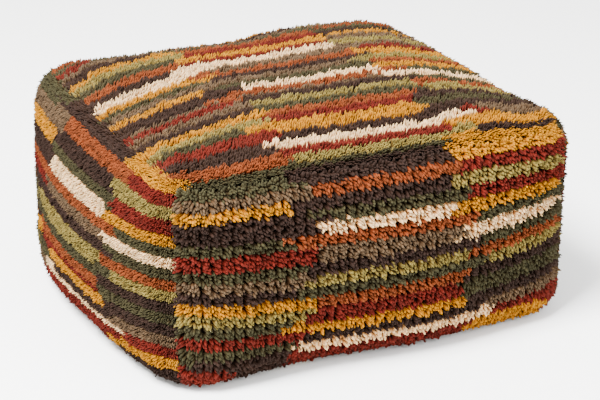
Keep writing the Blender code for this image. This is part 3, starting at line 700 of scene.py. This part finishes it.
def wool_finish():
    """Dyed wool: dull and soft, each yarn a little lighter or darker than the next, painted shade
    darkening and warming it deep in the pile, a painted highlight paling its tip, and the sheen
    of loose fibres."""
    wool = blank("dyed wool yarn with painted shade and highlight, cut pile")
    lookup = add(wool, "UVMap", uv_map="OFBake")
    parts = add(wool, "SeparateXYZ", {"Vector": lookup.outputs["UV"]})
    ramp = add(wool, "ValToRGB", {"Fac": parts.outputs["X"]})
    ramp.color_ramp.interpolation = "CONSTANT"
    stops = ramp.color_ramp.elements
    while len(stops) < len(WOOL):
        stops.new(1.0)
    for index, code in enumerate(WOOL.values()):
        stops[index].position = index / len(WOOL)
        stops[index].color = linear(code)
    within = add(wool, "Math", {0: parts.outputs["X"], 1: float(len(WOOL))}, operation="MULTIPLY")
    within = add(wool, "Math", {0: within.outputs["Value"]}, operation="FRACT")
    shade = add(wool, "MapRange", {"Value": within.outputs["Value"], "To Min": 0.55, "To Max": 1.3})
    # Painted shade and highlight: the colour darkens from the tip down into the pile, less for pale
    # dyes, and the tip is painted brighter than the dye
    pale = add(wool, "RGBToBW", {"Color": ramp.outputs["Color"]})
    painted_deep_shade = add(wool, "Math", {0: pale.outputs["Val"], 1: 1.8}, operation="MULTIPLY")
    depth = add(wool, "MapRange", {
        "Value": parts.outputs["Y"], "From Min": 0.42, "From Max": 1.0,
        "To Min": painted_deep_shade.outputs["Value"], "To Max": 1.2})
    shade = add(wool, "Math", {0: shade.outputs["Result"], 1: depth.outputs["Result"]},
                operation="MULTIPLY")
    tint = add(wool, "VectorMath", {0: ramp.outputs["Color"], "Scale": shade.outputs["Value"]},
               operation="SCALE")
    # Painted shade: deep in the pile the colour is tinted warm, and towards the tip cooler
    warm = add(wool, "MapRange", {"Value": parts.outputs["Y"], "From Min": 0.5, "From Max": 1.0})
    tone = add(wool, "MixRGB", {"Fac": warm.outputs["Result"], "Color1": (1.35, 0.85, 0.5, 1.0),
                                "Color2": (0.95, 1.04, 1.18, 1.0)})
    tint = add(wool, "VectorMath", {0: tint.outputs["Vector"], 1: tone.outputs["Color"]},
               operation="MULTIPLY")
    # Painted highlight: near the tip the colour is mixed a little towards a pale grey-brown
    cut = add(wool, "MapRange", {
        "Value": parts.outputs["Y"], "From Min": 0.75, "From Max": 1.0, "To Min": 0.0, "To Max": 0.006})
    tint = add(wool, "MixRGB", {
        "Fac": cut.outputs["Result"], "Color1": tint.outputs["Vector"], "Color2": linear("#cdbfae")})
    shader = add(wool, "BsdfPrincipled", {
        "Base Color": tint.outputs["Color"], "Roughness": 0.95, "Specular IOR Level": 0.05,
        "Sheen Weight": 0.08, "Sheen Roughness": 0.5, "Sheen Tint": linear("#9a7454")})
    add(wool, "OutputMaterial", {"Surface": shader.outputs["BSDF"]})
    return wool


def pile_piece(name, end, roots, bends, tips, dye, shade, width):
    """Many yarn ends as one mesh, each along its own curve from root to tip."""
    end_points, end_faces = end
    count, corners = len(roots), len(end_points)
    ring_angle = np.arctan2(end_points[:, 1], end_points[:, 0])
    ring_radius = np.hypot(end_points[:, 0], end_points[:, 1])
    ring_height = end_points[:, 2]
    t = ring_height[None, :, None]
    line = (1 - t) ** 2 * roots[:, None] + 2 * t * (1 - t) * bends[:, None] + t ** 2 * tips[:, None]
    axis = unit(tips - roots)
    askew = np.array([0.31, 0.87, 0.38])
    first = unit(np.cross(axis, askew))
    second = np.cross(axis, first)
    spread = np.cos(ring_angle)[None, :, None] * first[:, None]
    spread = spread + np.sin(ring_angle)[None, :, None] * second[:, None]
    points = line + spread * (ring_radius * width[:, None])[..., None] / 2
    faces = (np.arange(count)[:, None, None] * corners + end_faces[None]).reshape(-1, 3)
    mesh = bpy.data.meshes.new(name)
    mesh.vertices.add(count * corners)
    mesh.vertices.foreach_set("co", points.ravel())
    mesh.loops.add(faces.size)
    mesh.loops.foreach_set("vertex_index", faces.ravel())
    mesh.polygons.add(len(faces))
    mesh.polygons.foreach_set("loop_start", np.arange(0, faces.size, 3))
    mesh.polygons.foreach_set("use_smooth", np.ones(len(faces), bool))
    mesh.update(calc_edges=True)
    place = dye * SHADE_BINS + np.minimum((shade * SHADE_BINS).astype(int), SHADE_BINS - 1)
    # Painted light: one side of each end is given a slightly lighter shade than the other
    side = 0.5 + 0.35 * np.cos(ring_angle) * np.minimum(ring_radius, 1)
    u = (place[:, None] + side[None]) / (SHADE_BINS * len(dyes))
    v = np.broadcast_to(0.03 + 0.94 * ring_height, u.shape)
    uv = np.stack([u, v], -1).reshape(-1, 2)[faces.ravel()]
    mesh.uv_layers.new(name="OFBake").data.foreach_set("uv", uv.ravel())
    mesh.materials.append(wool)
    piece = bpy.data.objects.new(name, mesh)
    bpy.context.collection.objects.link(piece)
    return piece


wool = wool_finish()
rng = np.random.default_rng(8)
for name in PANELS:
    cloth, tips = cloth_points[name], tip_points[name]
    cloth_u, cloth_v, cloth_normals = lattice(cloth)
    tips_u, tips_v, tip_normals = lattice(tips)
    rooted = cloth_v
    if name != "top":
        middle = len(tips_u) // 2
        rooted = np.interp(tips[:, middle, 2], cloth[:, middle, 2], cloth_v)
    row_height, ends = ROW_HEIGHT[name], ENDS_PER_KNOT[name]
    columns = round(tips_u[-1] / KNOT_WIDTH)
    rows = round(tips_v[-1] / row_height) + 2 * SPARE_ROWS
    tied = np.arange(-SPARE_ROWS, rows - SPARE_ROWS)
    knot_j, knot_i = np.meshgrid(np.arange(-1, columns + 1), tied)
    knot_j, knot_i = knot_j.ravel(), knot_i.ravel()
    wander = ROW_WANDER * rng.normal(size=rows)[knot_i + SPARE_ROWS]
    place = (knot_j + 0.5) * tips_u[-1] / columns + wander
    level = (knot_i + 0.5) * row_height
    risen = level + 0.01 * DRIFTS[name](place * 100, level * 100)
    share = np.clip(risen / tips_v[-1], 0, 1)
    knot_u = length_at(cloth_u, index_of(tips_u, place)) - LEAN[name][0]
    knot_v = length_at(rooted, index_of(tips_v, risen))
    knot_v -= np.interp(share, [0, 0.7, 1], LEAN[name][1:])
    knot_u += SEAM_LEAN * np.clip(1 - place / SEAM_REACH, 0, 1)
    knot_u -= SEAM_LEAN * np.clip(1 - (tips_u[-1] - place) / SEAM_REACH, 0, 1)
    knot_v -= SEAM_LEAN * np.clip(1 - (tips_v[-1] - risen) / SEAM_REACH, 0, 1)
    if name == "top":
        knot_v += SEAM_LEAN * np.clip(1 - risen / SEAM_REACH, 0, 1)
    jitter_u = DYE_WANDER * rng.normal(size=len(knot_j))
    dye = dye_at(CHARTS[name], place * 100 + jitter_u, level * 100 + SEEN_ABOVE[name])
    if name == "top":
        border = np.array([dyes.index(code) for code in TOP_BORDER])
        stretch = np.digitize(risen * 100, list(TOP_BORDER.values())[:-1])
        dye = np.where(place * 100 + jitter_u < BORDER_WIDTH, border[stretch], dye)
    knot_shade = rng.uniform(*KNOT_SHADE, len(knot_j))
    knot_stray = STRAY[name] * rng.normal(size=(len(knot_j), 2))
    knot_rise = UNEVEN[name] * rng.normal(size=len(knot_j))
    order = np.repeat(np.arange(len(knot_j)), ends)
    nth = np.tile(np.arange(ends), len(knot_j))
    off = TUFT_REACH * np.sqrt((nth + 0.5) / ends)
    angle = nth * TUFT_TURN + np.repeat(rng.uniform(0, 6.283, len(knot_j)), ends)
    slot_u = (off * np.cos(angle) + TUFT_SCATTER * rng.normal(size=len(order))) * KNOT_WIDTH
    slot_v = (off * np.sin(angle) + TUFT_SCATTER * rng.normal(size=len(order))) * row_height
    stray = knot_stray[order] + STRAY[name] * rng.normal(size=(len(order), 2))
    to_pair = (knot_j[order] % 2 - 0.5) * KNOT_WIDTH - slot_u
    tip_u = place[order] + (1 - GATHER) * slot_u + PAIRING[name] * to_pair + stray[:, 0]
    tip_v = risen[order] + (1 - GATHER) * slot_v + stray[:, 1]
    lowest = TOP_LOWEST if name == "top" else SIDE_LOWEST
    inside = (tip_u > -PAST_END) & (tip_u < tips_u[-1] + PAST_END)
    inside &= (tip_v > lowest) & (tip_v < tips_v[-1] + PAST_UPPER)
    order, off, tip_u, tip_v = order[inside], off[inside], tip_u[inside], tip_v[inside]
    root_u = np.clip(knot_u[order] + slot_u[inside], ROOT_MARGIN, cloth_u[-1] - ROOT_MARGIN)
    root_v = np.clip(knot_v[order] + slot_v[inside], ROOT_MARGIN, cloth_v[-1] - ROOT_MARGIN)
    row, column = index_of(cloth_v, root_v), index_of(cloth_u, root_u)
    root = between(cloth, row, column)
    upright = between(cloth_normals, row, column)
    upright[:, 2] = np.maximum(upright[:, 2], ROOT_DROP)
    row, column = index_of(tips_v, tip_v), index_of(tips_u, tip_u)
    wild = WILD_LIFT * (rng.random(len(order)) < WILD_SHARE) * rng.random(len(order))
    lift = wild + knot_rise[order] + UNEVEN[name] * rng.normal(size=len(order))
    lift = np.minimum(lift + ROUNDING[name] * (0.5 - off ** 2 / TUFT_REACH ** 2), LIFT_CAP)
    tip = between(tips, row, column) + lift[:, None] * unit(between(tip_normals, row, column))
    length = np.linalg.norm(tip - root, axis=1)
    bend = root + BEND_SHARE * length[:, None] * unit(upright)
    tip[:, 2] = np.maximum(tip[:, 2], TIP_FLOOR)
    bend[:, 2] = np.maximum(bend[:, 2], BEND_FLOOR)
    shade = np.clip(knot_shade[order] + END_SHADE * rng.normal(size=len(order)), 0, 0.999)
    width = YARN_WIDTH[name] * rng.uniform(*END_WIDTH, len(order))
    along = np.argsort(root_u, kind="stable")
    parts = np.array_split(along, math.ceil(len(along) * len(YARN_END[name][1]) / PIECE_TRIANGLES))
    for number, part in enumerate(parts, 1):
        piece = pile_piece(f"{name}_pile_{number}", YARN_END[name], root[part], bend[part], tip[part],
                           dye[order[part]], shade[part], width[part])
        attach(piece, "pouf")
        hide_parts(name + "_pile")

# Base: two halves of dark cotton canvas, sewn to the sides and joined by a zip. The
# canvas is heavy and plain woven, and its edges along the zip are turned under.
CANVAS_THREAD = 0.0014
CANVAS_LAP = 1.006
canvas = woven_finish("cotton canvas, plain weave", CANVAS_THREAD, "#1d1815", "#443a31", axes="XY")
for half in ("front", "back"):
    base = from_node("base_canvas_" + half, f"base_{half}_canvas")
    bpy.ops.transform.resize(value=(CANVAS_LAP, CANVAS_LAP, 1), center_override=(0, 0, 0))
    bpy.ops.object.transform_apply(location=True, rotation=True, scale=True)
    fine(base, 3)
    settle(base)
    base.data.materials.append(canvas)
    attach(base, "pouf")
    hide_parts("base_canvas_" + half)

# Zip tapes: strips of woven polyester that carry the teeth, sewn under the canvas. Beyond
# the stops the two are drawn together, which closes the ends of the slot.
ZIP_TAPE_RIB = 0.0009
# Room past the stop and the slider, the length in which the tapes close, and what stays open
ZIP_ROOM, ZIP_CLOSING, ZIP_PARTING = 0.001, 0.003, 0.0001
zip_weave = woven_finish("woven polyester zip tape", ZIP_TAPE_RIB, "#211c18", "#40362e", 0.7,
                         twill=math.radians(45), axes="XY")
for half in ("front", "back"):
    tape = from_node("zip_tape_" + half, f"zip_{half}_tape")
    low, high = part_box("zip_tape_" + half)
    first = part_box("zip_bottom_stop")[0].x - ZIP_ROOM
    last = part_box("zip_slider")[1].x + ZIP_ROOM
    pick(tape)
    bpy.ops.object.mode_set(mode="EDIT")
    for cut in (first, last):
        bpy.ops.mesh.select_all(action="SELECT")
        bpy.ops.mesh.bisect(plane_co=(cut, 0, 0), plane_no=(1, 0, 0))
    bpy.ops.object.mode_set(mode="OBJECT")
    fine(tape, 4)
    gap = min(abs(low.y), abs(high.y))
    for corner in tape.data.vertices:
        beyond = max(corner.co.x - last, first - corner.co.x, 0) / ZIP_CLOSING
        corner.co.y *= 1 - min(beyond, 1) * (gap - ZIP_PARTING) / abs(corner.co.y)
    tape.data.materials.append(zip_weave)
    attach(tape, "pouf")
    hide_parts("zip_tape_" + half)

# Stitches: a line of brown thread along each side of the slot sews the canvas to the zip
# tapes. The thread is twisted and sinks into the canvas at the end of every stitch.
STITCH, STITCH_PITCH, THREAD_WIDTH = 0.0033, 0.0040, 0.0008
STITCH_LINE, STITCH_COUNT = 0.0103, 98
# How far the canvas's face lies under the tape
CANVAS_FACE = 0.0015
thread = woven_finish("twisted polyester thread", THREAD_WIDTH, "#4a3f34", "#86745f", 0.6,
                      twill=math.radians(35), axes="XY")
canvas_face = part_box("zip_tape_front")[0].z - CANVAS_FACE
for half, away in (("front", -1), ("back", 1)):
    bpy.ops.object.select_all(action="DESELECT")
    start = -(STITCH_COUNT - 1) * STITCH_PITCH / 2
    bpy.ops.mesh.primitive_cylinder_add(
        vertices=8, radius=THREAD_WIDTH / 2, depth=STITCH, rotation=(0, math.pi / 2, 0),
        location=(start, away * STITCH_LINE, canvas_face))
    bpy.ops.object.transform_apply(location=True, rotation=True, scale=True)
    line = bpy.context.object
    line.name = f"zip_{half}_stitches"
    modify(line, "BEVEL", width=THREAD_WIDTH / 5, segments=2, limit_method="ANGLE", angle_limit=1.2)
    modify(line, "ARRAY", count=STITCH_COUNT, use_relative_offset=False, use_constant_offset=True,
           constant_offset_displace=(STITCH_PITCH, 0, 0))
    bpy.ops.object.shade_smooth()
    line.data.materials.append(thread)
    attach(line, "pouf")

# Zip teeth: two rows of brown acetal, moulded straight on to the edges of the tapes. Each
# tooth sits between two of the other row once the slider has pressed them together.
def acetal_finish():
    """Moulded acetal: dark, smooth and waxy, with a faint mottle from the mould."""
    acetal = blank("moulded acetal, dark brown")
    place = add(acetal, "TexCoord").outputs["Object"]
    mottle = add(acetal, "TexNoise", {"Vector": place, "Scale": 1 / 0.002, "Detail": 3.0})
    tint = add(acetal, "MixRGB", {
        "Fac": mottle.outputs["Fac"], "Color1": linear("#241e1a"), "Color2": linear("#3a322c")})
    gloss = add(acetal, "MapRange", {"Value": mottle.outputs["Fac"], "To Min": 0.32, "To Max": 0.5})
    shader = add(acetal, "BsdfPrincipled", {
        "Base Color": tint.outputs["Color"], "Roughness": gloss.outputs["Result"], "IOR": 1.48})
    add(acetal, "OutputMaterial", {"Surface": shader.outputs["BSDF"]})
    return acetal


def refinish(node, material):
    """Give a CAD node that stays in view its finish."""
    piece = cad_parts[node]
    piece.data.materials.clear()
    piece.data.materials.append(material)


acetal = acetal_finish()
for half in ("front", "back"):
    refinish("zip_teeth_" + half, acetal)

# Zip metal: the stops that end the teeth, the die-cast slider and the stamped pull that
# hangs in its bail, all plated and darkened to look like old brass.
def brass_finish():
    """Antique brass: a warm metal, darker and brighter in random patches of tarnish, with fine scuffs.
    """
    brass = blank("antique brass plate")
    place = add(brass, "TexCoord").outputs["Object"]
    tarnish = add(brass, "TexNoise", {
        "Vector": place, "Scale": 1 / 0.003, "Detail": 6.0, "Roughness": 0.65})
    scuffs = add(brass, "TexNoise", {"Vector": place, "Scale": 1 / 0.0006, "Detail": 2.0})
    tint = add(brass, "MixRGB", {
        "Fac": tarnish.outputs["Fac"], "Color1": linear("#5e4a2c"), "Color2": linear("#b08f58")})
    gloss = add(brass, "MapRange", {"Value": tarnish.outputs["Fac"], "To Min": 0.5, "To Max": 0.28})
    worn = add(brass, "Bump", {"Height": scuffs.outputs["Fac"], "Strength": 0.15, "Distance": 0.0002})
    shader = add(brass, "BsdfPrincipled", {
        "Base Color": tint.outputs["Color"], "Metallic": 1.0, "Roughness": gloss.outputs["Result"],
        "Normal": worn.outputs["Normal"]})
    add(brass, "OutputMaterial", {"Surface": shader.outputs["BSDF"]})
    return brass


brass = brass_finish()
for node in ("zip_top_stop_front", "zip_top_stop_back", "zip_bottom_stop", "zip_slider", "zip_pull"):
    refinish(node, brass)

# Floor: a wide pale sweep of matt paper, as in a photographer's studio. It isn't part of
# the object, which only stands on it.
FLOOR_SIZE = 12.0
bpy.ops.object.select_all(action="DESELECT")
bpy.ops.mesh.primitive_grid_add(x_subdivisions=8, y_subdivisions=8, size=FLOOR_SIZE)
floor = bpy.context.object
floor.name = "studio_floor"
paper = blank("matt white studio paper")
grain = add(paper, "TexNoise", {
    "Vector": add(paper, "TexCoord").outputs["Object"], "Scale": 1 / 0.01, "Detail": 4.0})
tone = add(paper, "MixRGB", {
    "Fac": grain.outputs["Fac"], "Color1": linear("#f4f4f2"), "Color2": linear("#fbfbfa")})
matt = add(paper, "BsdfPrincipled", {
    "Base Color": tone.outputs["Color"], "Roughness": 0.95, "Specular IOR Level": 0.1})
add(paper, "OutputMaterial", {"Surface": matt.outputs["BSDF"]})
floor.data.materials.append(paper)
floor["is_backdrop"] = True

# Light: a white room that reaches every side, a soft box high on the left that brings out
# the relief of the pile, and a weaker one from the right.
room = bpy.data.worlds.new("studio room")
room.use_nodes = True
room.node_tree.nodes["Background"].inputs["Color"].default_value = (1.0, 1.0, 1.0, 1.0)
room.node_tree.nodes["Background"].inputs["Strength"].default_value = 2.2
bpy.context.scene.world = room
TARGET = Vector((0.0, 0.0, 0.1395))
for name, place, size, power in (("key_light", (-1.4, -0.6, 2.7), 1.2, 580.0),
                                 ("fill_light", (0.8, -2.2, 1.7), 1.5, 50.0)):
    bpy.ops.object.light_add(type="AREA", location=place)
    light = bpy.context.object
    light.name = name
    light.data.size = size
    light.data.energy = power
    light.rotation_euler = (TARGET - Vector(place)).to_track_quat("-Z", "Y").to_euler()

# Camera: at the height and angle of the photograph, which were found by fitting the outline
# and the upright seams.
CAMERA_TURN, CAMERA_PITCH = math.radians(-25.59), math.radians(22.16)
CAMERA_DISTANCE, CAMERA_LENS = 2.314, 103.9
CAMERA_SHIFT = (0.0123, -0.0259)
back = Vector((math.sin(CAMERA_TURN) * math.cos(CAMERA_PITCH),
               -math.cos(CAMERA_TURN) * math.cos(CAMERA_PITCH), math.sin(CAMERA_PITCH)))
right = Vector((math.cos(CAMERA_TURN), math.sin(CAMERA_TURN), 0.0))
up = back.cross(right)
bpy.ops.object.camera_add()
camera = bpy.context.object
camera.name = "photo_camera"
camera.data.lens = CAMERA_LENS
camera.data.sensor_width = 36.0
camera.location = TARGET + right * CAMERA_SHIFT[0] + up * CAMERA_SHIFT[1] + back * CAMERA_DISTANCE
camera.rotation_euler = back.to_track_quat("Z", "Y").to_euler()
bpy.context.scene.camera = camera

low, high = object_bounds()
